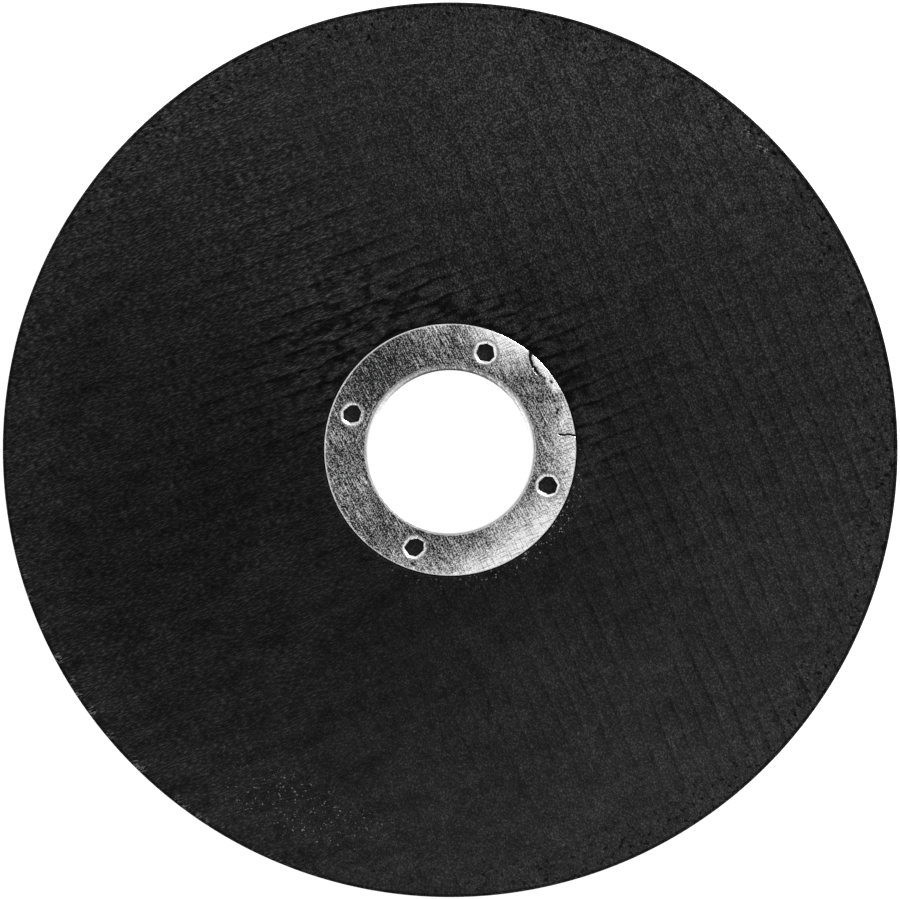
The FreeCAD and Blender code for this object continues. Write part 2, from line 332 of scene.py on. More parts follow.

# %% [markdown]
# Now the heights. Yarns, folds and grain are added up, with fine flow streaks on the left side. A yarn is only seven
# cells wide, too few for a crisp edge, so the mesh also carries the place across each set as a smooth mask, and the
# shader works out from it which flank one is on, to paint shade and highlight there. Another mask paints shade and
# highlight on the flanks of the folds, with random streaks. Other masks say how far the fine grain shows, which way
# it runs, and on which side the painted shade along the rim's edge is broadest (`shade`).


# %% Relief of the upper face
def upper_relief(x, y):
    """Height over the crevices, from 0 to 1, and the masks that go with it."""
    radius, angle = polar(x, y)
    steep, shallow = yarn_strengths(x, y)
    crumple, folds = crumpled_folds(x, y)
    steep_place, shallow_place = yarns_at(x, y, crumple)
    grit = open_grain(x, y)
    run, across = along(x, y, FLOW_TURN)
    streaks = noise(run / 6, across, 0.7, 17)
    height = 0.12 + 0.4 * steep * ridge(steep_place, *STEEP_SHAPE)
    height += 0.7 * shallow * ridge(shallow_place, *SHALLOW_SHAPE)
    height += 1.1 * crumple * folds
    height += 0.10 * streaks * lobe(angle, 195, 75) + 0.08 * noise(x, y, 4, 21) + 0.06 * noise(x, y, 0.8, 22)
    height += grit * 0.4 * noise(x, y, 0.75, 20)
    # painted shade and highlight on the flanks of the folds, with random streaks and noise
    painted_flank_shading = 2.6 * crumple * (folds - 0.2) + streaks * (0.1 + 0.28 * lobe(angle, 200, 60))
    painted_flank_shading = painted_flank_shading + 0.24 * noise(x, y, 0.9, 26) + 0.15 * noise(x, y, 2.2, 27)
    masks = {
        "tone_and_painted_light": tone_and_painted_light_at(x, y),
        "painted_flank_shading": np.clip(painted_flank_shading, -1.5, 1.5),
        "steep": 0.43 * steep,
        "shallow": 0.7 * shallow + 0.8 * crumple,
        "steep_place": steep_place,
        "shallow_place": shallow_place,
        "grit": grit,
        "dust_and_painted_highlight": dust_and_painted_highlight_at(x, y),
        "flow": np.clip(lobe(angle, -160, 75) + 0.6 * lobe(angle, *TOP_LEFT), 0, 1),
        "shade": lobe(angle, 50, 75),
        "rough": 0.58 + 0.18 * lobe(angle, 95, 55) - 0.13 * lobe(angle, -50, 55),
    }
    return np.clip(height, 0, 1), masks


right, left = (upper_relief(side * sample, 0 * sample)[0].mean() for side in (1, -1))
print(f"mean relief to the right {right:.2f}, to the left {left:.2f}")

# %% [markdown]
# ## Cloth grid cut round
#
# The face is a square grid, like the net itself, trimmed to a circle: cells outside are dropped and the corners
# along the cut slide onto the circle. A polar grid would crowd its cells at the bore and starve the rim. Rows of
# extra corners, walked outwards and inwards from the two cuts, then make the wall of the rim and the lip.

# %% Round grid
FACE_START = LIP_FOOT + 0.15
FACE_CELL = STEEP_PITCH / 7


def round_grid(inner, outer, cell):
    """Corners and faces of a square grid between two circles, and its two cut edges as rows, in order of angle."""
    n = int(outer / cell) + 2
    ticks = np.arange(-n, n + 1) * cell
    x, y = along(*(a.ravel() for a in np.meshgrid(ticks, ticks, indexing="ij")), -WEAVE_TURN)
    side = 2 * n + 1
    i, j = (a.ravel() for a in np.meshgrid(np.arange(side - 1), np.arange(side - 1), indexing="ij"))
    cells = np.stack([i * side + j, (i + 1) * side + j, (i + 1) * side + j + 1, i * side + j + 1], 1)
    centre = np.hypot(x[cells].mean(1), y[cells].mean(1))
    used, cells = np.unique(cells[(centre > inner) & (centre < outer)], return_inverse=True)
    cells = cells.reshape(-1, 4)
    x, y = x[used], y[used]
    cut = np.unique(border_edges(cells))
    radius = np.hypot(x, y)
    near = radius[cut] < (inner + outer) / 2
    rows = []
    for limit, row in ((inner, cut[near]), (outer, cut[~near])):
        row = row[np.argsort(np.arctan2(y[row], x[row]))]
        x[row], y[row] = x[row] * limit / radius[row], y[row] * limit / radius[row]
        rows.append(row)
    return x, y, cells, rows


x, y, cells, cuts = round_grid(FACE_START, RIM, FACE_CELL)
print(len(cells), "cells,", len(cuts[0]), "and", len(cuts[1]), "corners on the cuts")

# %% [markdown]
# ## Upper glass net
#
# The rim has been knocked in a few places, and pale glass shows in the chips. A band of small chips runs along the
# lower left, and eight single ones are placed where the picture shows them. They are pressed into the face and
# kept as a mask for the shader. Cutting them out with booleans would leave hard edges that real chips don't have.

# %% Chips at the rim
CHIP_SPOTS = ((719.5, 104.5), (722, 118), (744, 131), (748, 133), (759, 146), (766, 150.5), (654, 99), (606, 93))


def chips_at(x, y):
    """How far the face is chipped, from 0 to 1."""
    radius, angle = polar(x, y)
    chips = blend(0.1, 0.5, noise(x, y, 1.3, 31)) * blend(61.3, 61.9, radius)
    chips *= 0.06 + 0.8 * lobe(angle, -143, 22)
    for spot_x, spot_y in (on_picture(*spot) for spot in CHIP_SPOTS):
        chips = np.maximum(chips, blend(0.4, 0.15, np.hypot(x - spot_x, y - spot_y)))
    return chips


print(len(CHIP_SPOTS), "single chips")

# %% [markdown]
# From the face the net bends down a short slope, the lip, and runs on flat under the ring's flange. Its underside
# comes back the same way to the foot of the lip. The path is a list of radii and heights. The first two rows wander,
# because the resin tore unevenly where the ring was pressed in.

# %% Path of the lip and the seat
SEAT = (LIP_FOOT, *np.linspace(16.5, 12.5, 12), BEND_TOP)
LIP_ROWS = 2


def lip_and_seat(x, y, edge_height):
    """Radii and heights from the face's inner edge, down the lip, in over the seat, and back below it."""
    torn = 0.04 * noise(x, y, 0.9, 33)
    lip = [(17.80 + torn, edge_height - 0.03), (17.76 + torn, FACE - 0.17 + 0.06 * noise(x, y, 1.4, 32))]
    seat = [(radius, FLANGE_UNDER) for radius in SEAT]
    underside = [(radius, DIP) for radius in SEAT[::-1]]
    return lip + seat + underside + [(LIP_TOP, FACE - NET)]


print(len(SEAT), "rows in the seat")

# %% [markdown]
# The ring's torn tangs go through the net. There, faces are left out of the seat and of its underside, so one looks
# through the holes of the ring onto bare grain. Walls join the two cuts, so that the cloth stays a closed body.

# %% Holes in the seat
PIERCED = 1.85


def pierce_seat(points, faces, first_seat, count):
    """The faces without those round each hole, and with walls between the seat and its underside there."""
    centres = points[faces].mean(1)
    pierced = np.zeros(len(faces), bool)
    for hole_x, hole_y in HOLES:
        pierced |= np.hypot(centres[:, 0] - hole_x, centres[:, 1] - hole_y) < PIERCED
    faces = faces[~pierced]
    first_under = first_seat + len(SEAT) * count
    cut = border_edges(faces)
    cut = cut[((cut >= first_seat) & (cut < first_under)).all(1)]
    row, column = np.divmod(cut - first_seat, count)
    below = first_under + (len(SEAT) - 1 - row) * count + column
    walls = np.stack([cut[:, 1], cut[:, 0], below[:, 0], below[:, 1]], 1)
    print(pierced.sum(), "faces left out,", len(walls), "faces in the walls")
    return faces.tolist() + walls.tolist()


# %% [markdown]
# The pieces of the cloth are now put together: the face with its relief and chips, the lip and the seat, the wall of
# the rim, slightly ragged where it meets the disc, and the plain underside that lies on the disc.

# %% Build the upper net
CHIP_DEPTH, EDGE_WEAR = 0.08, 0.05
WALL_TONE = 0.25


def build_upper_net():
    x, y, cells, (inner, outer) = round_grid(FACE_START, RIM, FACE_CELL)
    relief, masks = upper_relief(x, y)
    chips = chips_at(x, y)
    z = FACE - YARN_RELIEF * (1 - relief)
    z -= CHIP_DEPTH * chips + EDGE_WEAR * blend(61.9, RIM, np.hypot(x, y))
    rows, faces = [np.stack([x, y, z], 1)], cells.tolist()
    lip = inner
    for radius, height in lip_and_seat(x[inner], y[inner], z[inner]):
        lip = add_row(rows, faces, lip, row_at(x[inner], y[inner], radius, height))
    wall = None
    for k, (height, wear) in enumerate(((z[outer], 0), (1.45, 0), (1.38, EDGE_WEAR), (FACE - NET, EDGE_WEAR))):
        ragged = wear * (1 + noise(x[outer], y[outer], 0.9, 57 + k))
        wall = add_row(rows, faces, wall, row_at(x[outer], y[outer], RIM - ragged, height), flip=True)
    points = np.concatenate(rows)
    faces = pierce_seat(points, np.array(faces), len(x) + LIP_ROWS * len(inner), len(inner))
    faces += [face[::-1] for face in between(points, lip, wall)]
    extra = len(points) - len(x)
    masks = {name: np.append(v, np.full(extra, WALL_TONE * (name in ("tone_and_painted_light", "rough")))) for name, v in masks.items()}
    masks["chip"] = np.append(chips, np.zeros(extra))
    return make_piece("upper_net_cloth", points, faces, masks, "upper_glass_net")


upper_net = build_upper_net()

# %% [markdown]
# ## Lower glass net
#
# The hidden face has the same net, pressed flat, with both yarn sets showing evenly. It is the same grid with
# heights counted up from the plane that the wheel lies on, and it ends flat against the disc.

# %% Build the lower net
LOWER_CELL = 0.40
LOWER_EDGE = 0.14


def build_lower_net():
    x, y, cells, (inner, outer) = round_grid(WHEEL_BORE + 0.3, RIM, LOWER_CELL)
    steep, shallow = yarns_at(y, x)
    relief = 0.2 + 0.5 * ridge(steep, *STEEP_SHAPE) + 0.3 * ridge(shallow, *SHALLOW_SHAPE) + 0.08 * noise(x, y, 1.0, 41)
    z = YARN_RELIEF * (1 - np.clip(relief, 0, 1))
    rows, faces = [np.stack([x, y, z], 1)], cells[:, ::-1].tolist()
    ends = []
    for cut, radius in ((inner, WHEEL_BORE), (outer, RIM)):
        last = cut
        for height in (LOWER_EDGE, NET):
            last = add_row(rows, faces, last, row_at(x[cut], y[cut], radius, height), flip=radius < RIM)
        ends.append(last)
    points = np.concatenate(rows)
    faces += between(points, *ends)
    extra = len(points) - len(x)
    masks = {"steep_place": np.append(steep, np.zeros(extra)), "shallow_place": np.append(shallow, np.zeros(extra))}
    for name, level in (("steep", 0.5), ("shallow", 0.4), ("tone_and_painted_light", 0.4), ("rough", 0.6)):
        masks[name] = np.full(len(points), level)
    return make_piece("lower_net_cloth", points, faces, masks, "lower_glass_net")


lower_net = build_lower_net()

# %% [markdown]
# ## Turning a section
#
# The disc and the ring are round all the way, so each starts as a section, a list of radii and heights, that is
# turned about the axis as on a lathe. Blender's Screw modifier does that too, but these rows stay arrays, so that
# grains, dents and torn edges can be pressed into them before the mesh is made.


# %% A turned section
def turn_section(section, count):
    """Radius, height and direction of each corner: a row for each point of the section, count corners a row."""
    radius, height = (np.array(column)[:, None] * np.ones(count) for column in zip(*section))
    return radius, height, np.linspace(0, 2 * math.pi, count, endpoint=False)


def turned_faces(rows, count, left_out=None):
    """Faces from each row to the next and from the last to the first. One gap may be left out."""
    faces = []
    for k in range(rows):
        if k != left_out:
            faces += strip(np.arange(count) + (k + 1) % rows * count, np.arange(count) + k * count)
    return faces


print("a section of four points, turned in six:", len(turned_faces(4, 6)), "faces")

# %% [markdown]
# ## Abrasive disc
#
# Between the nets is the part that cuts: hard grains in resin. It shows at the rim as a rough band, and at the
# bottom of the four pits under the ring's holes. The corners of the rim's band are pushed in at random, deepest in
# the middle of the band, and the pits are soft steps in the recess.

# %% Build the abrasive disc
GRAIN_DEPTH = 0.1
BAND_ROWS = 8
PIT_DEPTH = 0.33


def disc_section():
    """Radii and heights from the bore, over the recess, the face and the rim's band, and back below."""
    recess = [(WHEEL_BORE, 0.65), (BEND_TOP, DIP)] + [(radius, DIP) for radius in np.linspace(12.2, 17.6, 37)]
    face = [(LIP_FOOT, DIP), (LIP_TOP, 1.3), (40, 1.3), (RIM - GRAIN_DEPTH, 1.3)]
    band = [(RIM, height) for height in np.linspace(1.3, NET, BAND_ROWS)]
    return recess + face, band, [(RIM - GRAIN_DEPTH, NET), (40, NET), (WHEEL_BORE, NET)]


def build_disc():
    upper, band, under = disc_section()
    section = upper + band + under
    count = 1200
    radius, height, turns = turn_section(section, count)
    for k in range(BAND_ROWS):
        ragged = np.random.default_rng(50 + k).uniform(0, 1, count)
        radius[len(upper) + k] -= GRAIN_DEPTH * ragged * math.sin(math.pi * (k + 0.5) / BAND_ROWS)
    x, y = radius * np.cos(turns), radius * np.sin(turns)
    for hole_x, hole_y in HOLES:
        gap = np.hypot(x - hole_x, y - hole_y)
        pit = blend(1.62, 1.45, gap + 0.05 * noise(x, y, 0.4, 57)) * (height > 0.9) * (radius < LIP_FOOT)
        height = height - pit * (PIT_DEPTH + 0.06 * noise(x, y, 0.3, 58))
    points = np.stack([x.ravel(), y.ravel(), height.ravel()], 1)
    masks = {"grit": np.ones(len(points))}
    return make_piece("grain_disc", points, turned_faces(len(section), count), masks, "abrasive_disc")


disc = build_disc()

# %% [markdown]
# ## Bore ring
#
# The ring is one pressed sheet of thin steel: flat flange, rolled bend, short collar. Its section goes round the
# sheet, with a raised edge at the rim of the flange, where the blank was sheared. The flange's underside lies on the
# net and is never seen, so that gap is left out, which leaves more faces for the marks on its face.

# %% Section of the ring
RING_BORE, COLLAR_OUTSIDE = 11.115, 11.415
COLLAR_FOOT, COLLAR_MIDDLE, COLLAR_TOP = 0.1, 0.35, 0.65
BEND_FACE, BEND_BACK = 0.9, 0.6
FLANGE_TOP = 1.55


def bend(turns, size):
    """Points round the bend between collar and flange. Turns are in degrees from the collar."""
    return [(BEND_TOP - size * math.cos(turn), COLLAR_TOP + size * math.sin(turn)) for turn in np.radians(turns)]


def ring_section():
    """Radii and heights round the sheet, and the rows where its flat ends and where its underside starts."""
    section = [(RING_BORE, height) for height in (COLLAR_FOOT, COLLAR_MIDDLE, COLLAR_TOP)]
    section += bend(np.linspace(7.5, 82.5, 11), BEND_FACE)
    section += [(radius, FLANGE_TOP) for radius in np.linspace(BEND_TOP, 17.3, 53)]
    flat_end = len(section)
    section += [(17.4, 1.555), (17.48, 1.56), (17.55, 1.545), (17.59, 1.50), (17.6, 1.44), (17.6, 1.3)]
    underside = len(section)
    section += [(17.57, FLANGE_UNDER), (BEND_TOP, FLANGE_UNDER)]
    section += bend(np.linspace(80, 0, 6), BEND_BACK)
    section += [(COLLAR_OUTSIDE, COLLAR_MIDDLE), (COLLAR_OUTSIDE, COLLAR_FOOT)]
    return section, flat_end, underside


print(len(ring_section()[0]), "points round the ring's section")

# %% [markdown]
# Pressing left two cracks and some pits near the edge, and handling left scored lines and places rubbed bright. Each
# is drawn as a short line through points of the picture, and the distance to it shapes the mark, with noise for a
# ragged course. Cracks and pits are pressed into the sheet, the others only change its finish.

# %% Cracks, pits and scores
KINKED_CRACK = ((531, 350), (530.3, 359), (532, 365.5), (535, 369.5), (538, 373))
STRAIGHT_CRACK = ((559, 434), (565, 435), (568, 434), (575, 435.5))
PITS = (
    (530.4, 352, 0.12), (541, 375.5, 0.02), (544, 377.5, 0.01), (551, 381.5, 0.05), (549.7, 397, 0.05),
    (554.6, 401, 0.02), (557.6, 409.5, 0.07), (556.6, 412.5, 0.08), (555.4, 416.5, 0.03), (412, 563, 0.06),
)
SCORES = (((376, 402), (370, 413), (366, 422), (360, 434), (356.5, 441)), ((369.5, 424), (367, 429), (364.5, 435)))
RUBBED_LONG = ((535, 357), (542, 368), (549, 378), (556, 389))
RUBBED_SHORT = ((563, 403), (566, 416), (561, 427))
FAR = 9.0


def to_line(x, y, places):
    """Distance in mm from points to a line drawn through places of the picture."""
    path = [on_picture(*place) for place in places]
    best = np.full(x.shape, FAR)
    for (ax, ay), (bx, by) in zip(path, path[1:]):
        dx, dy = bx - ax, by - ay
        t = np.clip(((x - ax) * dx + (y - ay) * dy) / (dx * dx + dy * dy), 0, 1)
        best = np.minimum(best, np.hypot(x - ax - t * dx, y - ay - t * dy))
    return best


def cracks_and_pits(x, y, radius, wander):
    """How deep the cracks and the pits go at each corner, from 0 to 1."""
    jagged = 0.08 * noise(x, y, 0.22, 65)
    wide = 0.07 * blend(16.2, 17.0, radius)
    kinked = blend(0.26, 0.14, to_line(x, y, KINKED_CRACK) - wide + wander + 1.3 * jagged)
    straight = blend(0.20, 0.10, to_line(x, y, STRAIGHT_CRACK) + 0.5 * wander + 0.5 * jagged)
    pits = np.full(x.shape, FAR)
    for px, py, size in PITS:
        pits = np.minimum(pits, to_line(x, y, ((px, py), (px + 0.5, py + 1))) - size)
    return np.maximum(kinked, straight), blend(0.17, 0.07, pits + wander)


def bright_lines(x, y, wander):
    """How bright the scored lines and the rubbed edges are, from 0 to 1."""
    scored = np.minimum(to_line(x, y, SCORES[0]), to_line(x, y, SCORES[1]))
    rubbed_and_painted_highlight = np.minimum(to_line(x, y, RUBBED_LONG), to_line(x, y, RUBBED_SHORT) + 0.5)
    return np.maximum(0.5 * blend(0.1, 0.03, scored), 0.95 * blend(0.85, 0.15, rubbed_and_painted_highlight + wander))


print(len(PITS), "pits and 2 cracks")

# %% [markdown]
# Four holes were pierced from above with a blunt punch, so each sits in a dimple and has a torn edge: seven corners
# with straight tears between them, no two holes alike. The corners of the mesh inside a tear slide out onto it, and
# the sheet beside it is rolled down, most towards the lower left. Cutting with booleans would lose the masks along
# the edge.

# %% Torn holes
TEARS = 7
FIRST_TEAR_SEED = 70
DIMPLE_EDGE, DIMPLE_SLOPE = 2.05, 0.33
LIP_WIDTH, LIP_SLOPE = 0.28, 0.55
LIP_SIDE = math.radians(215)


def torn_outline(turn, seed):
    """How far the tear reaches from a hole's centre, in mm, for each direction."""
    random = np.random.default_rng(seed)
    reach = random.uniform(1.24, 1.5, TEARS)
    place = np.append(0, np.arange(1, TEARS) + random.uniform(-0.16, 0.16, TEARS - 1)) * 2 * math.pi / TEARS
    ends, reach = np.append(place, 2 * math.pi), np.append(reach, reach[0])
    turn = (turn - 0.4 * seed) % (2 * math.pi)
    k = np.clip(np.searchsorted(ends, turn, side="right") - 1, 0, TEARS - 1)
    past, left = turn - ends[k], ends[k + 1] - turn
    near, far = reach[k], reach[k + 1]
    return near * far * np.sin(past + left) / (near * np.sin(past) + far * np.sin(left))


def punch_holes(x, y, height, top):
    """Corners with the four holes torn in them, which corners lie on a tear, and the lips' painted highlight."""
    gone = np.zeros(x.shape, bool)
    painted_lip_highlight = np.zeros(x.shape)
    for k, (hole_x, hole_y) in enumerate(HOLES):
        gap, way = np.hypot(x - hole_x, y - hole_y), np.arctan2(y - hole_y, x - hole_x)
        reach = torn_outline(way, FIRST_TEAR_SEED + k)
        torn = (gap < reach) & top
        gap = np.maximum(gap, reach * torn)
        x, y = np.where(torn, hole_x + gap * np.cos(way), x), np.where(torn, hole_y + gap * np.sin(way), y)
        side = 0.75 + 0.25 * np.cos(way - LIP_SIDE)
        height = height - top * DIMPLE_SLOPE * np.clip(DIMPLE_EDGE - gap, 0, 0.95) ** 1.7
        height = height - top * LIP_SLOPE * side * np.clip(reach + LIP_WIDTH - gap, 0, LIP_WIDTH)
        # painted highlight on each lip, brightest on the lower left, the side that faces the light
        painted_lip_highlight = np.maximum(painted_lip_highlight, side * top * blend(1.95, 1.45, gap + 0.1 * noise(x, y, 0.5, 64)))
        gone |= torn
    return x, y, height, gone, painted_lip_highlight


print("a tear reaches", np.round(torn_outline(np.linspace(0, 6, 5), FIRST_TEAR_SEED), 2), "mm")

# %% [markdown]
# From each torn edge the metal is pushed down as a tang, which goes through the net and locks the ring in the wheel.
# The tangs are walls: a copy of the torn edge and a second copy below it, with an uneven foot.

# %% Tangs
TANG_DROP = 0.3


def hang_tangs(points, faces, gone):
    """New corners and faces for the walls that hang from the torn edges."""
    edges = border_edges(faces)
    edges = edges[gone[edges].all(1)]
    corners, ends = np.unique(edges, return_inverse=True)
    ends = ends.reshape(-1, 2) + len(points)
    foot = points[corners] + np.stack([0 * corners, 0 * corners, -TANG_DROP - 0.05 * np.sin(corners)], 1)
    walls = np.stack([ends[:, 1], ends[:, 0], ends[:, 0] + len(corners), ends[:, 1] + len(corners)], 1)
    print(len(walls), "faces in the torn walls")
    return np.concatenate([points[corners], foot]), walls.tolist()


# %% [markdown]
# The ring is put together: turn the section, dent it, press in the marks, punch the holes and hang the tangs. Its
# masks say where it is cracked or pitted, where shade is painted at the top of the bore and on the tangs, where a
# highlight is painted on a hole's lip and where a scratch shines, and where highlights are painted on its bend and
# its rim.

# %% Build the bore ring
CRACK_DEPTH, RING_PIT_DEPTH = 0.22, 0.09
SHEARED_ROWS = 4  # rows of the raised edge that still face up
# how dark the tang walls are painted, as shade
TANG_PAINTED_SHADE = 0.8


def build_ring():
    section, flat_end, underside = ring_section()
    count = 1080
    radius, height, turns = turn_section(section, count)
    x, y = radius * np.cos(turns), radius * np.sin(turns)
    top = np.arange(len(section))[:, None] * np.ones(count) < flat_end + SHEARED_ROWS
    wander = 0.05 * noise(x, y, 0.35, 60)
    cracks, pits = (top * depth for depth in cracks_and_pits(x, y, radius, wander))
    lines = bright_lines(x, y, wander)
    dents = 0.006 * noise(x, y, 3, 62) + 0.004 * noise(x, y, 1.2, 63)
    height = height + top * (radius > BEND_TOP) * dents - CRACK_DEPTH * cracks - RING_PIT_DEPTH * pits
    x, y, height, gone, painted_lip_highlight = punch_holes(x, y, height, top)
    angle = np.degrees(turns)
    # painted shade at the top of the bore, where the collar faces away from the light
    painted_shade = lobe(angle, 90, 55) * top * blend(11.45, 11.3, radius)
    masks = {
        # cracks and pits, with the painted shade at the top of the bore
        "crack": np.maximum(np.maximum(cracks, pits), 0.9 * painted_shade),
        # the painted highlight on the hole lips, with the scored and bright lines
        "painted_lip_highlight": np.maximum(painted_lip_highlight, lines),
        # painted highlight on the bend, left off at the top, where shade falls
        "bend": top * blend(12.05, 11.85, radius) * (1 - 0.9 * lobe(angle, 85, 60)),
        # painted highlight on the raised rim, strongest at the upper left
        "painted_rim_highlight": top * blend(17.36, 17.47, radius) * (0.3 + 0.7 * lobe(angle, 150, 85)),
    }
    points = np.stack([x.ravel(), y.ravel(), height.ravel()], 1)
    faces = np.array(turned_faces(len(section), count, left_out=underside))
    gone = gone.ravel()
    faces = faces[~gone[faces].all(1)]
    tangs, walls = hang_tangs(points, faces, gone)
    # the tang walls get painted shade through the crack mask
    masks = {name: np.append(v, np.full(len(tangs), TANG_PAINTED_SHADE * (name == "crack"))) for name, v in masks.items()}
    points = np.concatenate([points, tangs])
    return make_piece("steel_ring", points, faces.tolist() + walls, masks, "bore_ring")


ring = build_ring()

# %% [markdown]
# ## Finishes
#
# Each finish is a small node tree. Blender's node editor draws the same trees, and these helpers build them in few
# lines. Every coordinate is taken from the object itself, in millimetres, so nothing slides when the camera moves.


# %% Node helpers
def node(tree, kind, inputs=None, **settings):
    """Adds a node, sets its properties, then links or fills its inputs by name or number."""
    made = tree.nodes.new(kind)
    for key, setting in settings.items():
        setattr(made, key, setting)
    for key, source in (inputs or {}).items():
        socket = made.inputs[key]
        if isinstance(source, bpy.types.NodeSocket):
            tree.links.new(source, socket)
        else:
            socket.default_value = source
    return made


def math_node(tree, operation, first, second=0.0, clamp=False):
    return node(tree, "ShaderNodeMath", {0: first, 1: second}, operation=operation, use_clamp=clamp).outputs[0]


def add(tree, first, second, clamp=False):
    return math_node(tree, "ADD", first, second, clamp)


def times(tree, first, second, clamp=False):
    return math_node(tree, "MULTIPLY", first, second, clamp)


def ramp(tree, value, low, high, to_low=0.0, to_high=1.0):
    """Moves a value from one range to another, softly, and stops at the ends."""
    made = node(tree, "ShaderNodeMapRange", {0: value, 1: low, 2: high, 3: to_low, 4: to_high})
    made.interpolation_type = "SMOOTHSTEP"
    return made.outputs[0]


def mix_value(tree, amount, first, second):
    return node(tree, "ShaderNodeMix", {0: amount, 2: first, 3: second}).outputs[0]


def mix_colour(tree, amount, first, second, way="MIX"):
    made = node(tree, "ShaderNodeMix", {0: amount, 6: first, 7: second}, data_type="RGBA", blend_type=way)
    return made.outputs[2]


print("node helpers ready")

# %% [markdown]
# ### Shared effects
#
# Grain, scratches and yarns appear in more than one finish. Each is a node group, built once with named sockets and
# placed in a material with its own values, so that a change to it reaches every finish.

# %% Group helpers
FLOAT, VECTOR = "NodeSocketFloat", "NodeSocketVector"


def new_group(name, inputs, outputs):
    """A shader node group with named sockets. Returns it with its input and output nodes."""
    group = bpy.data.node_groups.new(name, "ShaderNodeTree")
    for label, kind, value in inputs:
        socket = group.interface.new_socket(label, in_out="INPUT", socket_type=kind)
        if value is not None:
            socket.default_value = value
    for label, kind in outputs:
        group.interface.new_socket(label, in_out="OUTPUT", socket_type=kind)
    return group, node(group, "NodeGroupInput"), node(group, "NodeGroupOutput")


def use_group(tree, group, **inputs):
    """Places a group in a material, with its own values."""
    return node(tree, "ShaderNodeGroup", inputs, node_tree=group)


print("group helpers ready")

# %% [markdown]
# Grain is fine noise in two sizes, turned a little so that it doesn't line up with the mesh. A Voronoi texture would
# give cells with sharp borders, but grains under resin have soft ones.

# %% Grain
grain_group, g_in, g_out = new_group(
    "grain", [("Place", VECTOR, None), ("Size", FLOAT, 0.3)], [("Fine", FLOAT), ("Coarse", FLOAT)]
)
per_size = math_node(grain_group, "DIVIDE", 1.0, g_in.outputs["Size"])
askew = node(
    grain_group, "ShaderNodeVectorRotate", {"Vector": g_in.outputs["Place"], "Angle": 0.6}, rotation_type="Z_AXIS"
).outputs[0]
fine = node(grain_group, "ShaderNodeTexNoise", {"Vector": askew, "Scale": per_size, "Detail": 2.0})
coarse_scale = times(grain_group, per_size, 0.31)
coarse = node(grain_group, "ShaderNodeTexNoise", {"Vector": askew, "Scale": coarse_scale, "Detail": 3.0})
grain_group.links.new(fine.outputs[0], g_out.inputs["Fine"])
grain_group.links.new(coarse.outputs[0], g_out.inputs["Coarse"])
print("group", grain_group.name)

# %% [markdown]
# Scratches are noise stretched a long way in one direction and cut off high, so that only thin lines remain. With
# the cut at zero the same group gives brushed streaks. Wave textures would give lines at one even distance.

# %% Scratches
scratch_group, s_in, s_out = new_group(
    "scratches",
    [("Place", VECTOR, None), ("Turn", FLOAT, 0.0), ("Width", FLOAT, 0.2), ("Length", FLOAT, 4.0), ("Cut", FLOAT, 0.6),
     ("Gain", FLOAT, 9.0)],
    [("Lines", FLOAT)],
)
turned = node(
    scratch_group, "ShaderNodeVectorRotate", {"Vector": s_in.outputs["Place"], "Angle": s_in.outputs["Turn"]},
    rotation_type="Z_AXIS",
)
split = node(scratch_group, "ShaderNodeSeparateXYZ", {0: turned.outputs[0]})
lengthwise = math_node(scratch_group, "DIVIDE", split.outputs[0], s_in.outputs["Length"])
crosswise = math_node(scratch_group, "DIVIDE", split.outputs[1], s_in.outputs["Width"])
joined = node(scratch_group, "ShaderNodeCombineXYZ", {0: lengthwise, 1: crosswise})
lines = node(scratch_group, "ShaderNodeTexNoise", {"Vector": joined.outputs[0], "Scale": 1.0, "Detail": 1.0})
above = math_node(scratch_group, "SUBTRACT", lines.outputs[0], s_in.outputs["Cut"])
kept = times(scratch_group, above, s_in.outputs["Gain"], clamp=True)
scratch_group.links.new(kept, s_out.inputs["Lines"])


def scratches(tree, place, turn, width, length, cut=0.0, gain=1.0):
    """Lines or streaks along a direction, turn degrees clockwise from X. Width and length are in mm."""
    own = {"Width": width, "Length": length, "Cut": cut, "Gain": gain}
    return use_group(tree, scratch_group, Place=place, Turn=math.radians(turn), **own).outputs[0]


print("group", scratch_group.name)

# %% [markdown]
# The group paints shade in the crevice before each yarn and a highlight on its crest, the flank that faces the
# light. The group takes the place across the yarns from the mesh's mask, so these crisp edges fall exactly on the
# real ridges.

# %% Yarn
yarn_group, y_in, y_out = new_group(
    "yarn", [("Place", FLOAT, 0.0), ("Strength", FLOAT, 1.0)], [("Painted flank shading", FLOAT), ("Height", FLOAT)]
)
phase = math_node(yarn_group, "FRACT", y_in.outputs["Place"])
# painted shade in the crevice before the yarn, and a painted highlight on its crest
painted_shade = times(yarn_group, ramp(yarn_group, phase, 0.0, 0.11), ramp(yarn_group, phase, 0.25, 0.13))
rubbed_and_painted_highlight = times(yarn_group, ramp(yarn_group, phase, 0.2, 0.28), ramp(yarn_group, phase, 0.55, 0.3))
painted_flank_shading = math_node(yarn_group, "SUBTRACT", times(yarn_group, rubbed_and_painted_highlight, 0.8), painted_shade)
body = times(yarn_group, ramp(yarn_group, phase, 0.02, 0.28), ramp(yarn_group, phase, 1.0, 0.3))
yarn_group.links.new(times(yarn_group, painted_flank_shading, y_in.outputs["Strength"]), y_out.inputs["Painted flank shading"])
yarn_group.links.new(times(yarn_group, body, y_in.outputs["Strength"]), y_out.inputs["Height"])
print("group", yarn_group.name)

# %% [markdown]
# Every finish starts in the same way, with Blender's Principled shader and the place on the object, and reads the
# masks of its mesh by name. Most end in the same way too, with a bump that carries what is too fine for the mesh.


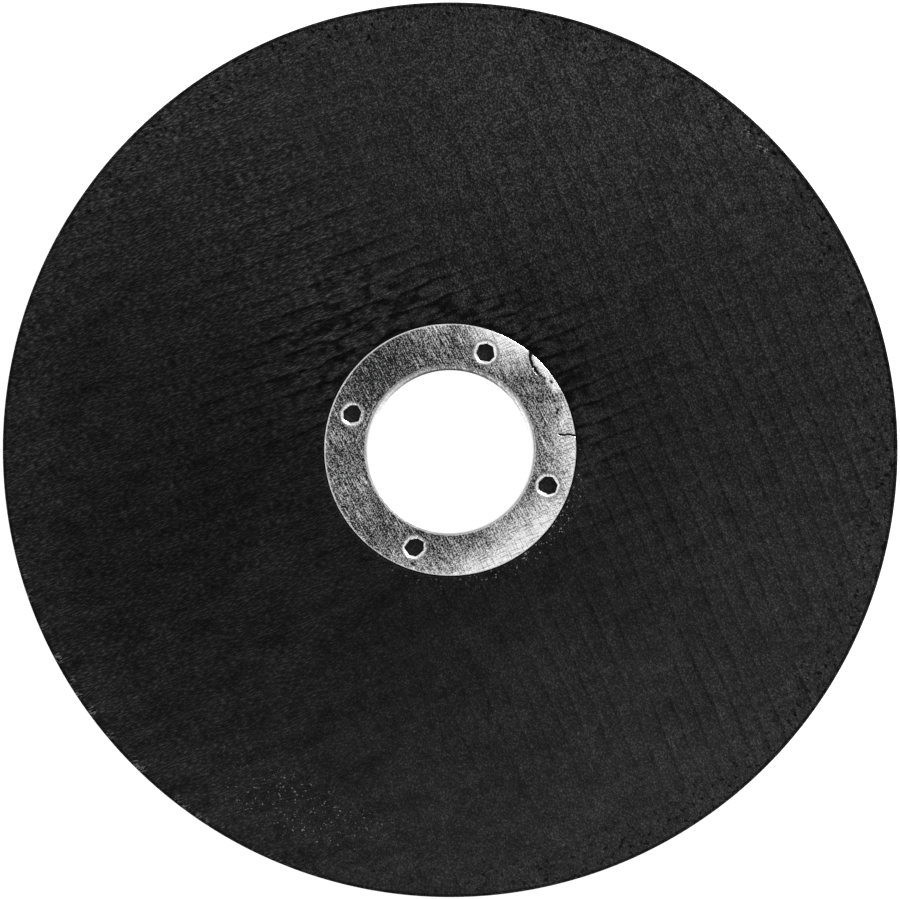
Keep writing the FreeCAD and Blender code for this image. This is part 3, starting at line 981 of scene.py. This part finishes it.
# %% Starting and ending a finish
def new_material(name):
    """An empty material, with its Principled shader and the place on the object in millimetres."""
    material = bpy.data.materials.new(name)
    material.use_nodes = True
    tree = material.node_tree
    shader = next(n for n in tree.nodes if n.type == "BSDF_PRINCIPLED")
    spot = node(tree, "ShaderNodeTexCoord").outputs["Object"]
    place = node(tree, "ShaderNodeVectorMath", {0: spot, 1: (1000, 1000, 1000)}, operation="MULTIPLY").outputs[0]
    return material, tree, shader, place


def mask(tree, name):
    return node(tree, "ShaderNodeAttribute", attribute_name=name).outputs["Fac"]


def bump_up(tree, shader, height, strength, distance):
    """Ends a finish with a bump of the given distance, in metres."""
    bump = node(tree, "ShaderNodeBump", {"Height": height, "Strength": strength, "Distance": distance})
    tree.links.new(bump.outputs[0], shader.inputs["Normal"])


print("ready for finishes")

# %% [markdown]
# ### Black resin over glass
#
# The face is almost black, a little bluer in the middle, with painted light towards the upper right and the rim, and
# lighter where the grain comes through near the rim. A plain dark colour would look like rubber, so the base colour
# follows the mesh's tone mask, which holds that painted light and shade over a random tone.

# %% Resin colour
resin, tree, shader, place = new_material("resin_over_glass")
grain = use_group(tree, grain_group, Place=place, Size=0.23)
flat_place = node(tree, "ShaderNodeVectorMath", {0: place, 1: (1, 1, 0)}, operation="MULTIPLY").outputs[0]
radius = node(tree, "ShaderNodeVectorMath", {0: flat_place}, operation="LENGTH").outputs["Value"]
light = mix_colour(tree, ramp(tree, radius, 30.0, 46.0), (0.0242, 0.0241, 0.0256, 1), (0.0246, 0.0243, 0.0246, 1))
# the tone mask carries painted light and shade into the base colour, over a random tone
base = mix_colour(tree, mask(tree, "tone_and_painted_light"), (0.0080, 0.0079, 0.0081, 1), light)
gritty = mix_colour(tree, times(tree, mask(tree, "grit"), 0.3), base, (0.026, 0.026, 0.026, 1))
print("resin has", len(tree.nodes), "nodes")

# %% [markdown]
# The fine grain lies along the way that the resin flowed on the left side and follows the cloth elsewhere, so two
# sets of streaks are mixed by the flow mask. Specks of it catch the light. The yarns' and the folds' flanks then get
# painted highlight and painted shade over the whole, where light and shade fall on the real face.

# %% Resin grain and painted flank shading
swept = scratches(tree, place, turn=-23, width=0.18, length=0.85)
woven = scratches(tree, place, turn=67, width=0.18, length=0.45)
drawn = mix_value(tree, mask(tree, "flow"), woven, swept)
share = ramp(tree, mask(tree, "flow"), 0.0, 1.0, 0.3, 0.75)
fine = mix_value(tree, share, grain.outputs["Fine"], drawn)
speck = add(tree, ramp(tree, fine, 0.4, 0.57, 0.15, 1.0), ramp(tree, fine, 0.52, 0.66, 0.0, 2.6))
speck = mix_value(tree, mask(tree, "rough"), 0.95, speck)
# painted shade and highlight on the flanks of the yarns and the folds, laid over the grain
up_yarn = use_group(tree, yarn_group, Place=mask(tree, "steep_place"), Strength=mask(tree, "steep"))
low_yarn = use_group(tree, yarn_group, Place=mask(tree, "shallow_place"), Strength=mask(tree, "shallow"))
painted_flank_shading = add(tree, up_yarn.outputs["Painted flank shading"], low_yarn.outputs["Painted flank shading"])
painted_flank_shading = add(tree, painted_flank_shading, mask(tree, "painted_flank_shading"))
speck = times(tree, speck, ramp(tree, painted_flank_shading, -1.3, 1.3, 0.25, 1.75))
toned = mix_colour(tree, 1.0, gritty, speck, way="MULTIPLY")
print("resin has", len(tree.nodes), "nodes")

# %% [markdown]
# Three things lie over that. Near the rim there are dark gaps between grains, and the very edge is painted dark as
# shade in a thin line, broadest at the upper right. Pale specks out of a fine noise are dust near the rim and a painted
# highlight on the lit lip by the ring, and a chip shows pale broken glass. They are mixed in last, because they hide
# what is below them.

# %% Rim grain, painted edge shade, dust, painted lip highlight and chips
pits = times(tree, ramp(tree, grain.outputs["Coarse"], 0.42, 0.36), mask(tree, "grit"))
chipped = times(tree, ramp(tree, fine, 0.52, 0.44), mask(tree, "chip"))
pits = math_node(tree, "MAXIMUM", pits, chipped)
edge = add(tree, radius, times(tree, mask(tree, "shade"), 0.2))
spared = times(tree, ramp(tree, fine, 0.44, 0.52), mask(tree, "chip"))
# painted shade: a thin dark line along the very edge, broadest at the upper right
painted_edge_shade = times(tree, ramp(tree, edge, 62.0, 62.2), ramp(tree, radius, 62.2, 62.32, 1.0, 0.45))
painted_edge_shade = times(tree, painted_edge_shade, ramp(tree, grain.outputs["Coarse"], 0.42, 0.6, 1.0, 0.7))
painted_edge_shade = math_node(tree, "SUBTRACT", painted_edge_shade, spared, clamp=True)
final = mix_colour(tree, math_node(tree, "MAXIMUM", pits, painted_edge_shade), toned, (0.0022, 0.0022, 0.0024, 1))
# pale specks: a painted highlight on the lit lip by the ring, and dust in a patch near the rim
dust_and_painted_highlight = node(tree, "ShaderNodeTexNoise", {"Vector": place, "Scale": 3.0, "Detail": 1.0}).outputs[0]
dust_and_painted_lip_highlight = mask(tree, "dust_and_painted_highlight")
dust_and_painted_highlight = add(tree, dust_and_painted_highlight, times(tree, dust_and_painted_lip_highlight, 0.1))
dust_and_painted_highlight = times(tree, ramp(tree, dust_and_painted_highlight, 0.72, 0.77), times(tree, dust_and_painted_lip_highlight, 2.5, clamp=True))
pale = math_node(tree, "MAXIMUM", dust_and_painted_highlight, times(tree, mask(tree, "chip"), ramp(tree, fine, 0.5, 0.6)))
final = mix_colour(tree, pale, final, (0.2, 0.2, 0.2, 1))
tree.links.new(final, shader.inputs["Base Color"])
print("resin has", len(tree.nodes), "nodes")

# %% [markdown]
# The resin's gloss is low and broken up by the grain. Both nets are the same stuff, so both get this finish.

# %% Resin gloss and bump
dull = math_node(tree, "MAXIMUM", ramp(tree, grain.outputs["Coarse"], 0.3, 0.7, 0.48, 0.66), painted_edge_shade)
tree.links.new(dull, shader.inputs["Roughness"])
shader.inputs["Specular IOR Level"].default_value = 0.03
height = add(tree, fine, times(tree, grain.outputs["Coarse"], 0.9))
height = add(tree, height, times(tree, up_yarn.outputs["Height"], 0.25))
height = add(tree, height, times(tree, low_yarn.outputs["Height"], 0.25))
bump_up(tree, shader, height, strength=0.8, distance=0.00012)
for piece in (upper_net, lower_net):
    piece.data.materials.append(resin)
print("material", resin.name)

# %% [markdown]
# ### Bare grain
#
# The disc's own grain is coarser and duller, with dark gaps between grains. It shows only at the rim and in the pits,
# so one size of grain is enough.

# %% Bare grain
bare, tree, shader, place = new_material("bare_grain")
grain = use_group(tree, grain_group, Place=place, Size=0.3)
speck = ramp(tree, grain.outputs["Fine"], 0.35, 0.7, 0.0, 1.0)
tint = mix_colour(tree, speck, (0.004, 0.004, 0.0045, 1), (0.03, 0.03, 0.032, 1))
tree.links.new(tint, shader.inputs["Base Color"])
shader.inputs["Roughness"].default_value = 0.75
shader.inputs["Specular IOR Level"].default_value = 0.3
bump_up(tree, shader, grain.outputs["Fine"], strength=0.8, distance=0.00015)
disc.data.materials.append(bare)
print("material", bare.name)

# %% [markdown]
# ### Pressed steel
#
# Plated steel that has dulled to dark mottles at the upper left, with a painted reflection bright at the lower right.
# One number, the tone, says how bright the metal is at each place, and colour and roughness both follow it: real
# mottles and scratches, and painted reflection and highlights. It starts with the places where the reflection is
# painted, each a point of the picture, a size in mm and a strength.

# %% Steel with a painted reflection
steel, tree, shader, place = new_material("mottled_steel")
PAINTED_REFLECTION_SPOTS = (
    (480, 602, 9.5, 1.85), (596, 500, 11.5, 0.95), (518, 316, 9.8, 1.95), (600, 430, 10.0, 1.3),
    (405, 600, 9.0, 0.75), (430, 316, 6.0, 0.3), (340, 492, 6.5, 0.1), (378, 368, 10.0, -0.22),
)


def painted_reflection_spot(px, py, size, strength):
    """Strength of the painted reflection near a place on the ring, fading over size in mm."""
    centre = (*on_picture(px, py), 1.5)
    far = node(tree, "ShaderNodeVectorMath", {0: place, 1: centre}, operation="DISTANCE").outputs["Value"]
    return ramp(tree, far, size, 0.0, 0.0, strength)


# painted reflection of the lamps, brightest at the lower right and dimmed at the upper left
painted_reflection = painted_reflection_spot(552, 574, 12.8, 2.4)
for spot in PAINTED_REFLECTION_SPOTS:
    painted_reflection = add(tree, painted_reflection, painted_reflection_spot(*spot))
print(len(PAINTED_REFLECTION_SPOTS) + 1, "rubbed spots")

# %% [markdown]
# Scratches from wiping run steeply across the ring, and a few shallow ones cross them where the reflection is
# painted bright.
# Mottles, brushing and steep scratches lighten the tone, and gouges, shallow scratches and dull grains darken it.

# %% Mottles and scratches
grain = use_group(tree, grain_group, Place=place, Size=0.2)
brushed = scratches(tree, place, turn=63, width=0.15, length=0.7, cut=0.49, gain=6.0)
steep = scratches(tree, place, turn=61, width=0.13, length=3.6, cut=0.56, gain=11.0)
gouge = scratches(tree, place, turn=66, width=0.14, length=2.6, cut=0.56, gain=9.0)
shallow = scratches(tree, place, turn=-22, width=0.15, length=2.4, cut=0.5, gain=5.0)
shallow_here = times(tree, shallow, ramp(tree, painted_reflection, 0.3, 0.8))
mottle = add(tree, ramp(tree, grain.outputs["Fine"], 0.46, 0.62, 0.0, 0.42), times(tree, brushed, 0.21))
tone_and_painted_light = add(tree, mottle, times(tree, steep, 0.42))
# the painted reflection is added into the tone
tone_and_painted_light = add(tree, tone_and_painted_light, times(tree, painted_reflection, 0.85))
tone_and_painted_light = math_node(tree, "SUBTRACT", tone_and_painted_light, 0.03, clamp=True)
dark_lines = add(tree, times(tree, gouge, 0.35), times(tree, shallow_here, 0.48))
dark_lines = add(tree, dark_lines, ramp(tree, grain.outputs["Fine"], 0.48, 0.34, 0.0, 0.25))
tone_and_painted_light = math_node(tree, "SUBTRACT", tone_and_painted_light, dark_lines, clamp=True)
print("steel has", len(tree.nodes), "nodes")

# %% [markdown]
# Highlights are painted on the raised rim, strongest at the upper left, on the bend, except at the top where it faces
# away from the light, and on the rolled lips of the holes, and the scored lines are bright. Cracks and pits are dark,
# with painted shade at the top of the bore and on the tangs. The metal is rough where it is dark and smoother where it
# is bright.

# %% Painted highlights, marks, painted shade and gloss of the steel
# painted highlights on the raised rim and on the bend
edges = add(tree, mask(tree, "painted_rim_highlight"), mask(tree, "bend"))
# painted highlight on the hole lips, with the scored and bright lines, broken up by grain
marks = times(tree, mask(tree, "painted_lip_highlight"), ramp(tree, grain.outputs["Fine"], 0.38, 0.55, 0.6, 1.0))
tone_and_painted_light = add(tree, tone_and_painted_light, add(tree, edges, marks), clamp=True)
metal = mix_colour(tree, tone_and_painted_light, (0.018, 0.018, 0.019, 1), (0.95, 0.95, 0.95, 1))
# cracks and pits are dark, and painted shade darkens the top of the bore and the tang walls
metal = mix_colour(tree, mask(tree, "crack"), metal, (0.01, 0.01, 0.01, 1))
tree.links.new(metal, shader.inputs["Base Color"])
tree.links.new(ramp(tree, tone_and_painted_light, 0.0, 1.0, 0.5, 0.28), shader.inputs["Roughness"])
shader.inputs["Metallic"].default_value = 1.0
height = add(tree, grain.outputs["Fine"], times(tree, brushed, 0.4))
bump_up(tree, shader, height, strength=0.3, distance=0.00004)
ring.data.materials.append(steel)
print("material", steel.name)

# %% [markdown]
# ## Floor, light and camera
#
# The picture looks straight down on the wheel, on plain white. The floor is a matte sheet that keeps the wheel's
# shadow. To the camera and in reflections it also glows a little, which makes it white without more light on the
# wheel.

# %% Floor
FLOOR_REACH = 3
floor_mesh = bpy.data.meshes.new("floor")
corners = [(FLOOR_REACH * a, FLOOR_REACH * b, 0) for a, b in ((-1, -1), (1, -1), (1, 1), (-1, 1))]
floor_mesh.from_pydata(corners, [], [(0, 1, 2, 3)])
floor = bpy.data.objects.new("floor", floor_mesh)
bpy.context.scene.collection.objects.link(floor)
paper = bpy.data.materials.new("white_paper")
paper.use_nodes = True
tree = paper.node_tree
shader = next(n for n in tree.nodes if n.type == "BSDF_PRINCIPLED")
shader.inputs["Base Color"].default_value = (0.8, 0.8, 0.8, 1)
shader.inputs["Roughness"].default_value = 1.0
shader.inputs["Specular IOR Level"].default_value = 0.0
rays = node(tree, "ShaderNodeLightPath")
seen = add(tree, rays.outputs["Is Camera Ray"], rays.outputs["Is Glossy Ray"])
seen = add(tree, seen, rays.outputs["Is Transmission Ray"], clamp=True)
shader.inputs["Emission Color"].default_value = (1, 1, 1, 1)
tree.links.new(times(tree, seen, 0.75), shader.inputs["Emission Strength"])
floor_mesh.materials.append(paper)
print("floor", 2 * FLOOR_REACH, "m wide")

# %% [markdown]
# The world stands for the pale walls of a studio: dim straight above, bright all round, and a little brighter still
# near the floor. An even sky would light everything alike and leave the steel without contrast. The camera sees it
# plain white.

# %% World
world = bpy.data.worlds.new("studio")
bpy.context.scene.world = world
world.use_nodes = True
tree = world.node_tree
background = next(n for n in tree.nodes if n.type == "BACKGROUND")
rays = node(tree, "ShaderNodeLightPath")
way = node(tree, "ShaderNodeTexCoord").outputs["Generated"]
up = node(tree, "ShaderNodeSeparateXYZ", {0: way}).outputs[2]
walls = add(tree, ramp(tree, up, 0.9, 0.66, 0.1, 0.92), ramp(tree, up, 0.5, 0.2, 0.0, 0.3))
strength = mix_value(tree, rays.outputs["Is Camera Ray"], walls, 1.0)
tree.links.new(strength, background.inputs["Strength"])
background.inputs["Color"].default_value = (1, 1, 1, 1)
print("world", world.name)

# %% [markdown]
# A big soft lamp from the upper right rakes over the face and shows its ridges. A softer one hangs over the wheel
# for the ring to mirror. Places and sizes are in metres, powers in watts.


# %% Lamps
def lamp(name, place, size, power):
    """A soft square lamp that looks at the wheel."""
    data = bpy.data.lights.new(name, "AREA")
    data.size, data.energy = size, power
    made = bpy.data.objects.new(name, data)
    bpy.context.scene.collection.objects.link(made)
    made.location = place
    made.rotation_euler = made.location.to_track_quat("Z", "Y").to_euler()
    return made


lamps = [lamp("raking", (0.52, 0.62, 0.26), size=0.3, power=10.0)]
lamps.append(lamp("overhead", (0.0, 0.0, 1.1), size=0.5, power=0.95))
print("lamps:", [made.name for made in lamps])

# %% [markdown]
# The camera looks straight down. Its lens makes the wheel 894 of 900 pixels wide from 0.6 m, and it stands a hair
# off the axis, because the wheel isn't quite in the middle of the picture.

# %% Camera
LENS, CAMERA_HEIGHT = 171.4, 0.6
view = bpy.data.cameras.new("camera")
view.sensor_width = 36
view.lens = LENS
camera = bpy.data.objects.new("camera", view)
bpy.context.scene.collection.objects.link(camera)
camera.location = (-0.000025, 0.000034, CAMERA_HEIGHT)
bpy.context.scene.camera = camera
bpy.context.scene.view_settings.view_transform = "Standard"
print("camera at", [round(value, 6) for value in camera.location])
